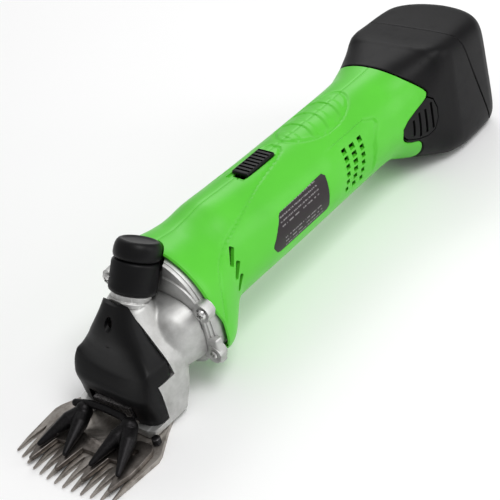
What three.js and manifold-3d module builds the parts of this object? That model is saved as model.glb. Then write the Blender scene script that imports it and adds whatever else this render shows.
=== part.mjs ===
// Cordless sheep shears: a comb and a swinging cutter on a cast head, driven by a motor and a crank
// inside a round handle, with a tension knob on the head and a battery pack that slides off the rear.
// Millimetres. Inside the group X runs along the handle towards the battery, Z is up and the handle's
// own axis is the line y = 0, z = 0. The group is then lifted so that it stands on z = 0.
import * as THREE from 'three';
import { mergeVertices } from 'three/addons/utils/BufferGeometryUtils.js';
import Module from 'manifold-3d';

const wasm = await Module();
wasm.setup();

// ---- driving dimensions ----
const GAP = 0.3; // clearance left between neighbouring pieces
const REST_PLANE = -51; // the comb's underside and the battery's bottom
const LENGTH_CENTRE = 96.3; // middle of the overall length, measured along the handle
const WALL = 2.6; // plastic wall
const HANDLE_RADIUS = 30;

const COMB = { teeth: 13, span: 76, tipX: -102.5, arcRadius: 115, thickness: 3, shoulderHalf: 41 };
const CUTTER = { teeth: 4, pitch: 19, thickness: 3 };
const FULCRUM_X = -30; // the lever swings about this upright axis
const SWING_AT_REST = 5.5; // degrees that the cutter stands away from mid stroke
const LEVER_Z = -35;

const CASE_Z = -12; // centre height of the gear case
const CASE_RADIUS = 31.5;
const CRANK_Z = -21; // height of the crank axis
const CRANK_THROW = 2.76; // eccentricity of the crank roller
const CRANK_ANGLE = 47; // degrees from upright at rest
const GEAR = { module: 1, gearTeeth: 31, pinionTeeth: 11, width: 7, x: 6 };

const KNOB = { x: -15.8, z: 16.3, lean: 32, radius: 13.4, skirt: 21, height: 29.3 };
const MOTOR = { x0: 22, x1: 70, radius: 21, shaft: 1.6 };
const BATTERY_CELL = { radius: 9.1, length: 65 };
const SWITCH = { x0: 81, x1: 107, halfWidth: 6.5, travel: 5, floor: 29.3 };
const CAP_PLANE = { x: 270, lean: 15.2 }; // joint between the battery case and its rear cap

// Outer skin of handle and battery. Each station is [x, half width, top, bottom, roundness of the
// upper half, roundness of the lower half, lean of the station's plane]. Roundness 2 is an ellipse.
const SKIN = [
  [-6, 33.5, 33, 38, 2, 2.6, 0],
  [0, 35.5, 33.5, 43, 2, 2.9, 0],
  [7, 37.5, 33.5, 46, 2, 3, 0],
  [14, 37.5, 32.5, 46, 2, 3, 0],
  [20, 36.5, 31.5, 43.5, 2, 2.8, 0],
  [26, 34.5, 31, 39, 2, 2.5, 0],
  [32, 32, 31.3, 33.5, 2, 2.2, 0],
  [38, 30.2, 32, 30.3, 2, 2, 0],
  [48, 29.5, 33, 29.5, 2, 2, 0],
  [66, 29.8, 32, 29.6, 2, 2, 0],
  [90, 30, 30.8, 30, 2, 2, 0],
  [130, 30, 30, 30, 2, 2, 0],
  [180, 30, 29.8, 30.5, 2, 2, 0],
  [198, 30.8, 29.8, 32.5, 2.05, 2.1, 0],
  [208, 33, 30, 38.5, 2.3, 2.4, 0],
  [220, 35.3, 30.8, 42, 3.1, 3.1, 0],
  [232, 37, 31.5, 45, 5.5, 4.6, 0],
  [246, 37, 31.5, 49, 7, 6.5, -0.02],
  [260, 37, 31.5, 50.8, 7, 7.5, -0.05],
  [280, 36.6, 31.3, 51, 7, 7.5, -0.08],
  [288, 34.4, 29, 49, 6, 6.5, -0.08],
  [291.6, 29, 23.5, 43.5, 5, 5.5, -0.08],
];

// Line between the handle and the battery, seen from the side as [x, z], from top to bottom.
const BATTERY_JOINT = [
  [207.5, 60], [207.5, 31], [210.5, 25.5], [216.8, 17], [217.8, 13.5], [214, 10.3], [201, 6.5], [194.5, 2],
  [192.6, -3], [194.5, -8.5], [199.5, -12], [202.5, -20], [207.5, -31], [208, -60],
];

// ---- finishes ----
function finish(colour, roughness, metalness) {
  return { colour, roughness, metalness };
}
const GREEN = finish(0x53c83a, 0.45, 0);
const BLACK = finish(0x262626, 0.55, 0);
const DARK_GREY = finish(0x323234, 0.6, 0);
const CAST = finish(0xc9cac6, 0.4, 0.9);
const STEEL = finish(0xb4b2ac, 0.3, 1);
const DARK_STEEL = finish(0x6a625a, 0.4, 1);
const BRASS = finish(0xc8a050, 0.35, 1);
const COPPER = finish(0xb87040, 0.4, 1);
const CARBON = finish(0x3a3a3c, 0.8, 0);
const CELL_GREEN = finish(0x2f7f8f, 0.5, 0);

const shears = new THREE.Group();
shears.position.set(-LENGTH_CENTRE, 0, -REST_PLANE);

// ---- solids and booleans ----
function toSolid(geometry) {
  const plain = geometry.clone();
  plain.deleteAttribute('normal');
  plain.deleteAttribute('uv');
  const merged = mergeVertices(plain, 1e-4);
  const numbers = merged.index.array;
  const triangles = [];
  for (let i = 0; i < numbers.length; i += 3) {
    const [a, b, c] = [numbers[i], numbers[i + 1], numbers[i + 2]];
    if (a !== b && b !== c && c !== a) triangles.push(a, b, c);
  }
  const mesh = new wasm.Mesh({
    numProp: 3,
    vertProperties: new Float32Array(merged.attributes.position.array),
    triVerts: new Uint32Array(triangles),
  });
  return new wasm.Manifold(mesh);
}

function toGeometry(solid) {
  const mesh = solid.getMesh();
  const geometry = new THREE.BufferGeometry();
  geometry.setAttribute('position', new THREE.BufferAttribute(mesh.vertProperties, 3));
  geometry.setIndex(new THREE.BufferAttribute(mesh.triVerts, 1));
  geometry.computeVertexNormals();
  return geometry;
}

function join(...geometries) {
  const solids = geometries.map(toSolid);
  return toGeometry(solids.reduce((all, one) => all.add(one)));
}

function cut(geometry, ...tools) {
  return toGeometry(tools.map(toSolid).reduce((rest, tool) => rest.subtract(tool), toSolid(geometry)));
}

function common(geometry, other) {
  return toGeometry(toSolid(geometry).intersect(toSolid(other)));
}

// ---- shapes ----
function box(x0, x1, y0, y1, z0, z1) {
  const geometry = new THREE.BoxGeometry(x1 - x0, y1 - y0, z1 - z0);
  return geometry.translate((x0 + x1) / 2, (y0 + y1) / 2, (z0 + z1) / 2);
}

// A round bar from one point to another, with its own radius at each end.
function rod(from, to, radius, endRadius = radius, sides = 12) {
  const start = new THREE.Vector3(...from);
  const end = new THREE.Vector3(...to);
  const along = end.clone().sub(start);
  const geometry = new THREE.CylinderGeometry(endRadius, radius, along.length(), sides);
  const up = new THREE.Vector3(0, 1, 0);
  const turn = new THREE.Quaternion().setFromUnitVectors(up, along.clone().normalize());
  const middle = start.add(end).multiplyScalar(0.5);
  return geometry.applyQuaternion(turn).translate(middle.x, middle.y, middle.z);
}

// A round bar along X.
function barX(x0, x1, y, z, radius, sides = 20) {
  return rod([x0, y, z], [x1, y, z], radius, radius, sides);
}

// A ring along X.
function ringX(x0, x1, y, z, outer, inner, sides = 20) {
  return cut(barX(x0, x1, y, z, outer, sides), barX(x0 - 1, x1 + 1, y, z, inner, sides));
}

// A flat outline drawn in the XY plane, given a height along Z.
function plate(outline, z0, z1, holes = []) {
  const shape = new THREE.Shape(outline.map(([x, y]) => new THREE.Vector2(x, y)));
  shape.holes = holes.map((hole) => new THREE.Path(hole.map(([x, y]) => new THREE.Vector2(x, y))));
  const geometry = new THREE.ExtrudeGeometry(shape, { depth: z1 - z0, bevelEnabled: false });
  return geometry.translate(0, 0, z0);
}

// A flat outline drawn in the XZ plane, given a width along Y.
function sidePlate(outline, y0, y1) {
  const geometry = plate(outline, -y1, -y0);
  return geometry.rotateX(Math.PI / 2);
}

// A flat outline drawn in the YZ plane, given a thickness along X.
function crossPlate(outline, x0, x1) {
  const geometry = plate(outline, x0, x1);
  return geometry.applyMatrix4(new THREE.Matrix4().set(0, 0, 1, 0, 1, 0, 0, 0, 0, 1, 0, 0, 0, 0, 0, 1));
}

function circle(x, y, radius, sides = 12) {
  const points = [];
  for (let i = 0; i < sides; i += 1) {
    const angle = (2 * Math.PI * i) / sides;
    points.push([x + radius * Math.cos(angle), y + radius * Math.sin(angle)]);
  }
  return points;
}

// A closed body through a row of rings that all have the same number of points.
function loft(rings) {
  const count = rings[0].length;
  const positions = rings.flat().flatMap((point) => [point.x, point.y, point.z]);
  const triangles = [];
  for (let i = 0; i + 1 < rings.length; i += 1) {
    for (let j = 0; j < count; j += 1) {
      const next = (j + 1) % count;
      const [a, b, c, d] = [i * count + j, i * count + next, (i + 1) * count + j, (i + 1) * count + next];
      triangles.push(a, b, c, b, d, c);
    }
  }
  for (const [ring, flip] of [[0, true], [rings.length - 1, false]]) {
    const middle = new THREE.Vector3();
    rings[ring].forEach((point) => middle.addScaledVector(point, 1 / count));
    const centre = positions.length / 3;
    positions.push(middle.x, middle.y, middle.z);
    for (let j = 0; j < count; j += 1) {
      const [a, b] = [ring * count + j, ring * count + ((j + 1) % count)];
      triangles.push(...(flip ? [centre, b, a] : [centre, a, b]));
    }
  }
  const geometry = new THREE.BufferGeometry();
  geometry.setAttribute('position', new THREE.Float32BufferAttribute(positions, 3));
  geometry.setIndex(triangles);
  return geometry;
}

// One point of a rounded outline: power 2 gives an ellipse, a higher power a rounded box.
function rounded(angle, half, up, down, powerUp, powerDown) {
  const [c, s] = [Math.cos(angle), Math.sin(angle)];
  const power = s >= 0 ? powerUp : powerDown;
  const height = s >= 0 ? up : down;
  const across = half * Math.sign(c) * Math.abs(c) ** (2 / power);
  return [across, height * Math.sign(s) * Math.abs(s) ** (2 / power)];
}

const RING_POINTS = 32;

// The skin's ring at one station, moved in by an inset.
function skinRing([x, half, up, down, powerUp, powerDown, lean], inset) {
  const ring = [];
  for (let j = 0; j < RING_POINTS; j += 1) {
    const angle = (2 * Math.PI * j) / RING_POINTS;
    const [y, z] = rounded(angle, half - inset, up - inset, down - inset, powerUp, powerDown);
    ring.push(new THREE.Vector3(x + lean * z, y, z));
  }
  return ring;
}

function skinBody(inset, fromX, toX) {
  const stations = SKIN.filter(([x]) => x >= fromX && x <= toX);
  return loft(stations.map((station) => skinRing(station, inset)));
}

// A ring in a level plane, for the head: centre x, half length along X and half width along Y.
function levelRing([z, xc, halfX, halfY, power], inset = 0) {
  const ring = [];
  const count = 28;
  for (let j = 0; j < count; j += 1) {
    const angle = (2 * Math.PI * j) / count;
    const [x, y] = rounded(angle, halfX - inset, halfY - inset, halfY - inset, power, power);
    ring.push(new THREE.Vector3(xc + x, y, z));
  }
  return ring;
}

function piece(name, geometry, look, parent = shears) {
  const material = new THREE.MeshStandardMaterial({
    color: look.colour,
    roughness: look.roughness,
    metalness: look.metalness,
  });
  const mesh = new THREE.Mesh(geometry, material);
  mesh.name = name;
  parent.add(mesh);
  return mesh;
}

const SIDES = [['left', -1], ['right', 1]];

// ---- comb ----
function combOutline() {
  const { teeth, span, tipX, arcRadius, shoulderHalf } = COMB;
  const pitch = span / (teeth - 1);
  const tipAt = (y) => tipX + arcRadius - Math.sqrt(arcRadius ** 2 - y ** 2);
  const points = [];
  for (let i = 0; i < teeth; i += 1) {
    const y = -span / 2 + i * pitch;
    const root = tipAt(y) + 21;
    if (i > 0) points.push([root, y - 1.9]);
    points.push([tipAt(y), y - 0.7], [tipAt(y), y + 0.7]);
    if (i < teeth - 1) points.push([root, y + 1.9]);
  }
  const side = [
    [-65, shoulderHalf], [-59, 40], [-44, 31], [-34, 26], [-34, 16.5], [-47, 16.5], [-47, 11.5], [-34, 11.5],
  ];
  const far = [...side].reverse().map(([x, y]) => [x, -y]);
  return [...points, ...side, ...far].reverse();
}
piece('comb', plate(combOutline(), REST_PLANE, REST_PLANE + COMB.thickness), DARK_STEEL);
const COMB_TOP = REST_PLANE + COMB.thickness;

// ---- head casting ----
const BELL = [
  [-44, -32, 22.5, 30.3, 9],
  [-34, -29.5, 22, 29.6, 5],
  [-22, -26.5, 20, 27.6, 3.2],
  [-10, -24, 17.5, 23, 2.5],
  [0, -21.5, 15, 17.5, 2.2],
  [8, -19.8, 12.5, 12.8, 2],
];
const NECK = { radius: 11.4, bore: 6.3 };
const lean = THREE.MathUtils.degToRad(KNOB.lean);
const KNOB_AXIS = new THREE.Vector3(Math.sin(lean), 0, Math.cos(lean));
function onKnobAxis(distance) {
  return [KNOB.x + KNOB_AXIS.x * distance, 0, KNOB.z + KNOB_AXIS.z * distance];
}
const HOOD_BACK = -28; // the hood covers the casting's open front up to here
const knobRoom = rod(onKnobAxis(-0.4), onKnobAxis(60), KNOB.radius + 1.2, KNOB.radius + 1.2, 28);

function headCasting() {
  const base = box(-54, -20, -30, 30, COMB_TOP + GAP, -43);
  const outer = join(
    loft(BELL.map((station) => levelRing(station))),
    barX(-20, -3, 0, CASE_Z, CASE_RADIUS, 36),
    rod(onKnobAxis(-18), onKnobAxis(-0.4), NECK.radius, NECK.radius, 24),
    base,
  );
  const hollow = join(
    loft(BELL.slice(0, 5).map((station) => levelRing(station, 4))),
    barX(-17, -1, 0, CASE_Z, CASE_RADIUS - 4, 36),
  );
  const front = box(-80, HOOD_BACK, -60, 60, -28, 40);
  const lowFront = box(-80, -40, -60, 60, -43, -27);
  const lowMouth = box(-80, -30, -24.6, 24.6, -43, -27);
  const mouth = box(-80, -49, -17, 17, -60, -42);
  const bore = rod(onKnobAxis(-40), onKnobAxis(5), NECK.bore, NECK.bore, 16);
  const postHole = rod([FULCRUM_X, 0, -60], [FULCRUM_X, 0, -38], 4.3, 4.3, 12);
  const screwHoles = SIDES.map(([, side]) => (
    rod([-44, side * 14, -60], [-44, side * 14, -30], 2.6, 2.6, 10)
  ));
  return cut(outer, hollow, front, lowFront, lowMouth, mouth, bore, postHole, knobRoom, ...screwHoles);
}
piece('head_casting', headCasting(), CAST);

// ---- hood ----
const HOOD = [
  [-46, -40, 11, 24.2, 7],
  [-31, -41, 11, 21, 6],
  [-22, -38, 12.2, 27.2, 6],
  [-11.5, -35, 10.5, 27.2, 5],
  [-5, -33.5, 10, 20.5, 3.5],
  [4, -31.5, 9, 15, 2.8],
  [12, -28.5, 7.5, 11.4, 2.6],
  [17.5, -26.5, 5, 9.4, 2.4],
];
function headHood() {
  const outer = loft(HOOD.map((station) => levelRing(station)));
  const innerStations = HOOD.slice(0, 7).map(([level, ...shape], i) => [level - (i ? 0 : 1), ...shape]);
  const hollow = loft(innerStations.map((station) => levelRing(station, WALL)));
  const back = box(HOOD_BACK - GAP, 0, -60, 60, -25, 40);
  const lowBack = box(-36, 0, -60, 60, -60, -23);
  const mouth = box(-80, -40, -19, 19, -60, -31);
  const underside = box(-80, 0, -60, 60, -60, -42.7);
  const neck = rod(onKnobAxis(-30), onKnobAxis(5), NECK.radius + GAP, NECK.radius + GAP, 24);
  return cut(outer, hollow, back, lowBack, mouth, underside, neck);
}
piece('head_hood', headHood(), BLACK);

// ---- fulcrum post and comb screws ----
piece('fulcrum_post', join(
  rod([FULCRUM_X, 0, COMB_TOP + GAP], [FULCRUM_X, 0, LEVER_Z - 6], 4, 4, 12),
  rod([FULCRUM_X, 0, LEVER_Z - 6.5], [FULCRUM_X, 0, LEVER_Z - 3], 3, 2.2, 12),
), STEEL);
for (const [name, side] of SIDES) {
  const [x, y] = [-44, side * 14];
  piece(`comb_screw_${name}`, join(
    rod([x, y, COMB_TOP - 2.4], [x, y, -38.4], 2.2, 2.2, 10),
    rod([x, y, -42.7], [x, y, -39.2], 3.4, 3.4, 6),
  ), DARK_STEEL);
}

// ---- gear case flange ----
function flangeOutline() {
  const points = [];
  for (let i = 0; i < 40; i += 1) {
    const [y, z] = rounded((2 * Math.PI * i) / 40, 35, 30, 30, 3, 3);
    points.push([y, z - 9.5]);
  }
  return points;
}
const FLANGE_LUGS = [['upper', 4], ['lower', -25]];
function gearCaseFlange() {
  const lugs = SIDES.flatMap(([, side]) => FLANGE_LUGS.map(([, z]) => barX(-2.6, 3, side * 35, z, 5.8, 14)));
  const body = join(crossPlate(flangeOutline(), -2.6, 2), ...lugs, barX(-2.6, 3.8, 0, CRANK_Z, 12, 24));
  const holes = SIDES.flatMap(([, side]) => FLANGE_LUGS.map(([, z]) => barX(-9, 9, side * 36, z, 1.9, 10)));
  return cut(body, ...holes, knobRoom, barX(-9, 9, 0, CRANK_Z, 8.3, 24));
}
piece('gear_case_flange', gearCaseFlange(), CAST);
for (const [name, side] of SIDES) {
  for (const [level, z] of FLANGE_LUGS) {
    piece(`flange_screw_${name}_${level}`, join(
      barX(-5.4, -2.9, side * 36, z, 3.6, 12),
      barX(-3, 5.2, side * 36, z, 1.6, 8),
    ), STEEL);
  }
}

// ---- crank and gears ----
function gearOutline(teeth, module) {
  const pitchRadius = (teeth * module) / 2;
  const [root, tip] = [pitchRadius - 1.25 * module, pitchRadius + 0.75 * module];
  const step = (2 * Math.PI) / teeth;
  const points = [];
  for (let i = 0; i < teeth; i += 1) {
    for (const [share, radius] of [[-0.25, root], [-0.08, tip], [0.08, tip], [0.25, root]]) {
      const angle = (i + share) * step;
      points.push([radius * Math.cos(angle), radius * Math.sin(angle)]);
    }
  }
  return points;
}

// A piece about the X axis, turned about it and moved into place.
function turned(geometry, x, y, z, degrees) {
  return geometry.rotateX(THREE.MathUtils.degToRad(degrees)).translate(x, y, z);
}

const crank = new THREE.Group();
shears.add(crank);
const crankTurn = THREE.MathUtils.degToRad(CRANK_ANGLE);
const rollerAt = [CRANK_THROW * Math.sin(crankTurn), CRANK_Z + CRANK_THROW * Math.cos(crankTurn)];
piece('crank_shaft', join(
  barX(-2, 18.5, 0, CRANK_Z, 3.4, 16),
  barX(-5.5, -1.9, 0, CRANK_Z, 7, 20),
  barX(-9.1, -5.4, ...rollerAt, 1.7, 12),
), STEEL, crank);
piece('crank_roller', ringX(-9, -5.8, ...rollerAt, 3.4, 2, 16), STEEL, crank);
const gearBlank = crossPlate(gearOutline(GEAR.gearTeeth, GEAR.module), 0, GEAR.width);
gearBlank.translate(GEAR.x, 0, CRANK_Z);
const gearBore = barX(GEAR.x - 1, GEAR.x + GEAR.width + 1, 0, CRANK_Z, 3.7, 16);
piece('drive_gear', cut(gearBlank, gearBore), DARK_STEEL, crank);
piece('crank_bearing_front', ringX(-1.6, 3.4, 0, CRANK_Z, 8, 3.7, 20), STEEL);
piece('crank_bearing_rear', ringX(14.4, 18.4, 0, CRANK_Z, 7, 3.7, 20), STEEL);

// ---- bearing plate and motor ----
piece('bearing_plate', cut(
  join(barX(14.4, 18.4, 0, 0, 22, 28), barX(14.4, 18.4, 0, CRANK_Z, 12, 20)),
  barX(10, 22, 0, CRANK_Z, 7.3, 20),
  barX(10, 22, 0, 0, 6.9, 20),
), CAST);
const canOuter = barX(MOTOR.x0, MOTOR.x1, 0, 0, MOTOR.radius, 28);
const canInner = barX(MOTOR.x0 + 2, MOTOR.x1 + 1, 0, 0, MOTOR.radius - 1.6, 28);
const noseHole = barX(MOTOR.x0 - 5, MOTOR.x0 + 5, 0, 0, 3, 16);
const canNose = barX(MOTOR.x0 - 3.2, MOTOR.x0 + 1, 0, 0, 6.4, 16);
piece('motor_can', cut(join(canOuter, canNose), canInner, noseHole), STEEL);
piece('motor_end_cap', cut(
  barX(MOTOR.x1 + GAP, MOTOR.x1 + 4.5, 0, 0, MOTOR.radius - 0.5, 28),
  barX(MOTOR.x1 - 1, MOTOR.x1 + 6, 0, 0, 3, 16),
), BLACK);

function magnet(side) {
  const ring = ringX(MOTOR.x0 + 6, MOTOR.x1 - 12, 0, 0, MOTOR.radius - 2, MOTOR.radius - 6, 28);
  return common(ring, box(0, 99, side > 0 ? 4 : -40, side > 0 ? 40 : -4, -40, 40));
}
for (const [name, side] of SIDES) {
  piece(`motor_magnet_${name}`, magnet(side), CARBON);
  const [near, far] = side > 0 ? [6.6, 15] : [-15, -6.6];
  piece(`motor_brush_${name}`, box(MOTOR.x1 - 9, MOTOR.x1 - 4, near, far, -2.5, 2.5), CARBON);
}

const rotor = new THREE.Group();
shears.add(rotor);
piece('motor_shaft', barX(4, 84, 0, 0, MOTOR.shaft, 12), STEEL, rotor);
function armatureOutline() {
  const points = [];
  const slots = 5;
  for (let i = 0; i < slots; i += 1) {
    const steps = [
      [-0.36, 14], [-0.12, 14], [0.12, 14], [0.36, 14], [0.4, 11.5], [0.2, 10],
      [0.3, 6], [0.5, 5.5], [0.7, 6], [0.8, 10], [0.6, 11.5],
    ];
    for (const [share, radius] of steps) {
      const angle = ((i + share) * 2 * Math.PI) / slots;
      points.push([radius * Math.cos(angle), radius * Math.sin(angle)]);
    }
  }
  return points;
}
const shaftBore = (x0, x1) => barX(x0, x1, 0, 0, MOTOR.shaft + GAP, 12);
piece('armature', cut(crossPlate(armatureOutline(), 29, 57), shaftBore(20, 70)), COPPER, rotor);
piece('commutator', ringX(58, 68, 0, 0, 6, MOTOR.shaft + GAP, 16), COPPER, rotor);
const PINION_PHASE = 180 / GEAR.pinionTeeth;
const pinionBlank = crossPlate(gearOutline(GEAR.pinionTeeth, GEAR.module), 0, GEAR.width + 1);
const pinionInMesh = turned(pinionBlank, GEAR.x - 0.5, 0, 0, PINION_PHASE);
piece('motor_pinion', cut(pinionInMesh, shaftBore(0, 20)), BRASS, rotor);

const FAN_BLADES = 7;

function coolingFan() {
  const blades = [];
  for (let i = 0; i < FAN_BLADES; i += 1) {
    const blade = box(-2.6, 2.6, 5, 17, -0.6, 0.6);
    blade.rotateX(((2 * Math.PI) / FAN_BLADES) * i);
    blades.push(blade.translate(79.3, 0, 0));
  }
  return cut(join(barX(76.4, 82.2, 0, 0, 6, 16), ...blades), shaftBore(70, 90));
}
piece('cooling_fan', coolingFan(), BLACK, rotor);

// ---- handle shells ----
function sideCutter(outline, shift) {
  return sidePlate([...outline.map(([x, z]) => [x + shift, z]), [330, -60], [330, 60]], -60, 60);
}

function handleShell() {
  const outer = skinBody(0, -6, 232);
  const inner = loft([
    skinRing([-20, ...SKIN[0].slice(1)], WALL),
    ...SKIN.filter(([x]) => x <= 232).map((station) => skinRing(station, WALL)),
    skinRing([250, ...SKIN[16].slice(1)], WALL),
  ]);
  const topSlope = box(-40, 0, -60, 60, -6, 60).applyMatrix4(new THREE.Matrix4().makeRotationY(-0.33));
  const vents = [];
  for (let i = 0; i < 4; i += 1) {
    for (const [, side] of SIDES) {
      const slot = new THREE.BoxGeometry(2.4, 16, 9).applyMatrix4(new THREE.Matrix4().makeRotationY(0.35));
      vents.push(slot.translate(31 + i * 3.2, side * 30, 15 - i * 5.6));
    }
  }
  for (let column = 0; column < 3; column += 1) {
    for (let row = 0; row < 5; row += 1) {
      const [x, z] = [140 + column * 9, 10 - row * 5 - column];
      vents.push(box(x, x + 3.4, -40, -24, z - 1.3, z + 1.3), box(x, x + 3.4, 24, 40, z - 1.3, z + 1.3));
    }
  }
  const switchSlot = box(SWITCH.x0 - SWITCH.travel + 3.4, SWITCH.x1 - 3.4, -4.4, 4.4, 20, 40);
  const recess = box(SWITCH.x0 - SWITCH.travel - 0.6, SWITCH.x1 + 0.6, -7.2, 7.2, SWITCH.floor, 40);
  const below = box(-30, 4.6, -60, 60, -60, 0);
  const lugRoom = SIDES.flatMap(([, side]) => (
    FLANGE_LUGS.map(([, z]) => barX(-20, 6.5, side * 36, z, 7.4, 14))
  ));
  const batteryRoom = sideCutter(BATTERY_JOINT, 0);
  const rooms = [inner, topSlope.translate(4.6, 0, 0), knobRoom, below, ...lugRoom, batteryRoom];
  return cut(outer, ...rooms, switchSlot, recess, ...vents);
}
const shell = handleShell();
const HOUSING_SCREWS = [[24, -30], [120, 17], [120, -18], [186, 16]];
for (const [name, side] of SIDES) {
  const half = side > 0 ? box(-30, 330, GAP / 2, 60, -60, 60) : box(-30, 330, -60, -GAP / 2, -60, 60);
  const bosses = HOUSING_SCREWS.map(([x, z]) => (
    rod([x, side * GAP / 2, z], [x, side * 24.6, z], 3.6, 3.6, 10)
  ));
  const bores = HOUSING_SCREWS.map(([x, z]) => rod([x, -16, z], [x, 40, z], 1.9, 1.9, 8));
  const heads = HOUSING_SCREWS.map(([x, z]) => rod([x, 21, z], [x, 40, z], 3.3, 3.3, 10));
  piece(`housing_${name}`, cut(join(common(shell, half), ...bosses), ...bores, ...heads), GREEN);
}
HOUSING_SCREWS.forEach(([x, z], i) => {
  piece(`housing_screw_${i + 1}`, join(
    rod([x, 21.4, z], [x, 23.6, z], 2.9, 2.9, 10),
    rod([x, -12, z], [x, 22, z], 1.5, 1.5, 8),
  ), STEEL);
});

// ---- nameplate ----
const PLATE_OUTLINE = [[121.5, 12.5], [119, -10.5], [71, -9.7], [67.8, -2.9], [80.5, 12.6]];
function nameplate() {
  const blank = sidePlate(PLATE_OUTLINE, -40, -20);
  const bend = ringX(60, 130, 0, 0, HANDLE_RADIUS + 1.4, HANDLE_RADIUS + 0.6, 48);
  return common(blank, bend);
}
piece('nameplate', nameplate(), DARK_GREY);

// ---- switch ----
piece('switch_body', box(84, 104, -7, 7, 10, 22.5), BLACK);
piece('switch_slider', join(
  box(SWITCH.x0, SWITCH.x1, -SWITCH.halfWidth, SWITCH.halfWidth, SWITCH.floor + GAP, SWITCH.floor + 2.9),
  box(SWITCH.x0 + 4, SWITCH.x1 - 4, -3.6, 3.6, 22.9, SWITCH.floor + 1),
), BLACK);

// ---- terminals ----
piece('terminal_block', box(180, 190, -20, 20, -9, 7), BLACK);
for (const [name, side] of SIDES) {
  piece(`terminal_blade_${name}`, box(190 + GAP, 202, side * 9 - 3, side * 9 + 3, -1.4, -0.6), BRASS);
}

// ---- lever, yokes and cutter ----
const swing = new THREE.Group();
swing.position.set(FULCRUM_X, 0, 0);
swing.rotation.z = THREE.MathUtils.degToRad(SWING_AT_REST);
shears.add(swing);
const fromFulcrum = (x) => x - FULCRUM_X;

const leverTop = LEVER_Z + 3;
const leverFront = fromFulcrum(-46);
function forkLever() {
  const beamOutline = [
    [16, -5], [16, 5], [0, 6.5], [leverFront, 8], [leverFront - 4, 13], [leverFront - 8, 13],
    [leverFront - 8, -13], [leverFront - 4, -13], [leverFront, -8], [0, -6.5],
  ];
  const beam = plate(beamOutline.reverse(), LEVER_Z - 3, leverTop);
  const prongs = [-1, 1].map((side) => (
    box(14, 19.6, side > 0 ? 3.9 : -6.6, side > 0 ? 6.6 : -3.9, -28, -15)
  ));
  const bridge = box(14, 16, -6.6, 6.6, LEVER_Z - 3, -24);
  const seat = rod([fromFulcrum(-41), 0, LEVER_Z], [fromFulcrum(-41), 0, -26.4], 5, 5, 14);
  const socket = rod([0, 0, LEVER_Z - 9], [0, 0, LEVER_Z - 1.5], 4.4, 2.6, 12);
  return cut(join(beam, ...prongs, bridge, seat), socket);
}
piece('fork_lever', forkLever(), DARK_STEEL, swing);

const cutterBottom = COMB_TOP + GAP;
const cutterTop = cutterBottom + CUTTER.thickness;
const toothY = [-1.5, -0.5, 0.5, 1.5].map((n) => n * CUTTER.pitch);
function cutterOutline() {
  const points = [[fromFulcrum(-96), toothY[0] - 1.2]];
  toothY.forEach((y, i) => {
    if (i > 0) points.push([fromFulcrum(-79), y - 4.4], [fromFulcrum(-96.5), y - 1.2]);
    points.push([fromFulcrum(-96.5), y + 1.2]);
    if (i < 3) points.push([fromFulcrum(-79), y + 4.4]);
  });
  const back = [[-82, 33.5], [-66, 34], [-62.5, 31], [-62, 22], [-68, 15], [-69, 0]];
  points.push(...back.map(([x, y]) => [fromFulcrum(x), y]));
  points.push(...back.slice(0, -1).reverse().map(([x, y]) => [fromFulcrum(x), -y]));
  return points.reverse();
}
const plateHoles = [-1, 1].map((side) => circle(fromFulcrum(-70), side * 25.5, 2.1, 10).reverse());
piece('cutter', plate(cutterOutline(), cutterBottom, cutterTop, plateHoles), DARK_STEEL, swing);

// Each yoke is a claw with two fingers that press on the cutter's teeth.
for (const [name, side] of SIDES) {
  const root = [fromFulcrum(-58.6), side * 17, -37];
  const fingers = [28.5, 9.5].map((y) => (
    rod(root, [fromFulcrum(-86), side * y, cutterTop + 1.9], 4, 1.6, 8)
  ));
  const bar = box(leverFront - 11.5, leverFront - 8 - GAP, side > 0 ? 1 : -21, side > 0 ? 21 : -1, -40, -30);
  const post = rod([root[0], root[1], -33], [root[0], root[1], -40.5], 4, 4, 10);
  piece(`yoke_${name}`, join(...fingers, post, bar), BLACK, swing);
}

// ---- tension pin, spring and knob ----
const PIN_TIP = -49.2;
piece('tension_pin', join(
  rod(onKnobAxis(PIN_TIP), onKnobAxis(PIN_TIP + 3), 1.4, 3, 12),
  rod(onKnobAxis(PIN_TIP + 2.9), onKnobAxis(-14), 3, 3, 12),
  rod(onKnobAxis(-26), onKnobAxis(-23), 5.4, 5.4, 14),
), STEEL);
class Coil extends THREE.Curve {
  getPoint(t, target = new THREE.Vector3()) {
    const angle = t * 2 * Math.PI * 5;
    return target.set(4.5 * Math.cos(angle), 4.5 * Math.sin(angle), t * 13);
  }
}
const wire = new THREE.Shape(circle(0, 0, 0.7, 5).map(([x, y]) => new THREE.Vector2(x, y)));
const coil = new THREE.ExtrudeGeometry(wire, { steps: 45, bevelEnabled: false, extrudePath: new Coil() });
coil.rotateY(lean).translate(...onKnobAxis(-21));
piece('tension_spring', coil, STEEL);

function onAxis(profile, sides) {
  const points = profile.map(([radius, height]) => new THREE.Vector2(radius, height));
  const geometry = new THREE.LatheGeometry(points, sides).rotateX(Math.PI / 2).rotateY(lean);
  return geometry.translate(...onKnobAxis(0));
}
const { radius: knobRadius, skirt } = KNOB;
piece('tension_knob', onAxis([
  [0, 2], [9, 2], [9, 0], [knobRadius - 1.5, 0], [knobRadius, 1.5], [knobRadius, skirt - 2],
  [knobRadius - 1.2, skirt], [0, skirt],
], 32), BLACK);
piece('knob_cap', onAxis([
  [0, skirt + GAP], [knobRadius - 0.6, skirt + GAP],
  [knobRadius - 0.3, skirt + 5], [knobRadius - 2.5, KNOB.height],
  [knobRadius - 4, KNOB.height], [knobRadius - 4.6, KNOB.height - 0.6], [0, KNOB.height - 0.6],
], 32), BLACK);
piece('tension_screw', rod(onKnobAxis(-4), onKnobAxis(1.7), 5.6, 5.6, 16), STEEL);

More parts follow.
